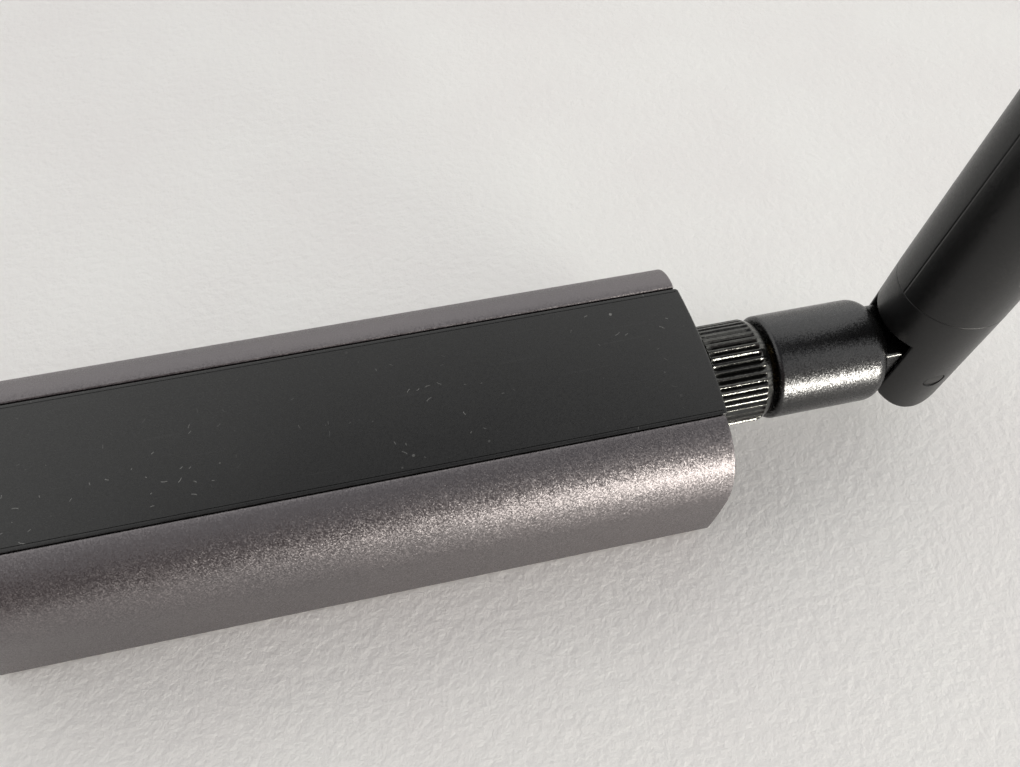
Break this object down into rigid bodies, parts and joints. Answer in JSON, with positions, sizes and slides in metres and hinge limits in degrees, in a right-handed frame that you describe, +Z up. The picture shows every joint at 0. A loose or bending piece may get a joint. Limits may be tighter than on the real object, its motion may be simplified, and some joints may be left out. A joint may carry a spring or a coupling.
{
  "type": "usb radio gateway",
  "caption": "Slim aluminium-cased USB radio stick with a black top strip and a hinged rod antenna on a screw-on coaxial plug.",
  "frame": {"origin": "middle of the flat underside of the case", "axes": "+X from the USB plug towards the antenna, +Z up out of the black strip, -Y the long side that faces the picture's camera"},
  "size_m": [0.116, 0.0254, 0.0944],
  "materials": {
    "case_aluminium": "fine-grained anodised, satin",
    "strip_plastic": "matte, lightly scuffed",
    "cap_metal": "matte powder coat",
    "screw_steel": "dark zinc",
    "plug_steel": "bright nickel",
    "plug_plastic": "satin",
    "contact_gold": "gold plated",
    "board_laminate": "solder mask",
    "chip_plastic": "moulded epoxy",
    "shield_steel": "tinned",
    "lamp_resin": "clear resin",
    "ceramic": "sintered",
    "plunger_plastic": "satin",
    "jack_brass": "gold plated",
    "line_insulator": "waxy",
    "nut_metal": "black plated",
    "barrel_metal": "black plated, satin",
    "rod_plastic": "fine moulded texture",
    "pin_steel": "blackened",
    "cable_jacket": "satin",
    "radiator_brass": "drawn"
  },
  "bodies": {
    "housing": {"aluminium_shell": "case_aluminium", "top_plate": "strip_plastic", "antenna_end_cap": "cap_metal", "usb_end_cap": "cap_metal", "end_cap_screw_1": "screw_steel", "end_cap_screw_2": "screw_steel", "end_cap_screw_3": "screw_steel", "end_cap_screw_4": "screw_steel", "circuit_board": "board_laminate", "usb_plug_shell": "plug_steel", "usb_plug_insulator": "plug_plastic", "usb_contact_1": "contact_gold", "usb_contact_2": "contact_gold", "usb_contact_3": "contact_gold", "usb_contact_4": "contact_gold", "usb_serial_chip": "chip_plastic", "radio_chip": "chip_plastic", "shield_can": "shield_steel", "voltage_regulator": "chip_plastic", "crystal": "shield_steel", "power_led": "lamp_resin", "status_led": "lamp_resin", "board_passives": "ceramic", "boot_button_frame": "shield_steel", "reset_button_frame": "shield_steel", "antenna_jack": "jack_brass", "jack_insulator": "line_insulator", "jack_socket": "contact_gold"},
    "plug": {"plug_ferrule": "jack_brass", "nut_retaining_ring": "radiator_brass", "plug_insulator": "line_insulator", "plug_centre_pin": "contact_gold"},
    "nut": {"coupling_nut": "nut_metal"},
    "barrel": {"swivel_barrel": "barrel_metal", "feed_cable_lower": "cable_jacket"},
    "antenna": {"antenna_base": "rod_plastic", "hinge_pin_near": "pin_steel", "hinge_pin_far": "pin_steel", "antenna_sleeve": "rod_plastic", "feed_cable_upper": "cable_jacket", "radiator_tube": "radiator_brass", "radiator_whip": "radiator_brass"},
    "boot_button": {"boot_button_plunger": "plunger_plastic"},
    "reset_button": {"reset_button_plunger": "plunger_plastic"}
  },
  "joints": [
    {"name": "antenna_withdrawal", "type": "slide", "parent": "housing", "child": "plug", "axis": [1, 0, 0], "range_m": [0, 0.00388]},
    {"name": "nut_turn", "type": "hinge", "parent": "plug", "child": "nut", "pos_m": [0.039, 0, 0.0104], "axis": [1, 0, 0], "range_deg": [0, 1980]},
    {"name": "barrel_swivel", "type": "hinge", "parent": "plug", "child": "barrel", "pos_m": [0.045, 0, 0.0104], "axis": [1, 0, 0], "range_deg": [-180, 180]},
    {"name": "elbow", "type": "hinge", "parent": "barrel", "child": "antenna", "pos_m": [0.05945, 0, 0.0104], "axis": [0, 1, 0], "range_deg": [0, 90]},
    {"name": "boot_button_press", "type": "slide", "parent": "housing", "child": "boot_button", "axis": [0, 0, -1], "range_m": [0, 0.00025], "stiffness_N_per_m": 1000, "springref_m": -0.0006},
    {"name": "reset_button_press", "type": "slide", "parent": "housing", "child": "reset_button", "axis": [0, 0, -1], "range_m": [0, 0.00025], "stiffness_N_per_m": 1000, "springref_m": -0.0006}
  ],
  "couplings": [
    {"joint": "nut_turn", "follows": "antenna_withdrawal", "rad_per_m": 8905.5}
  ]
}
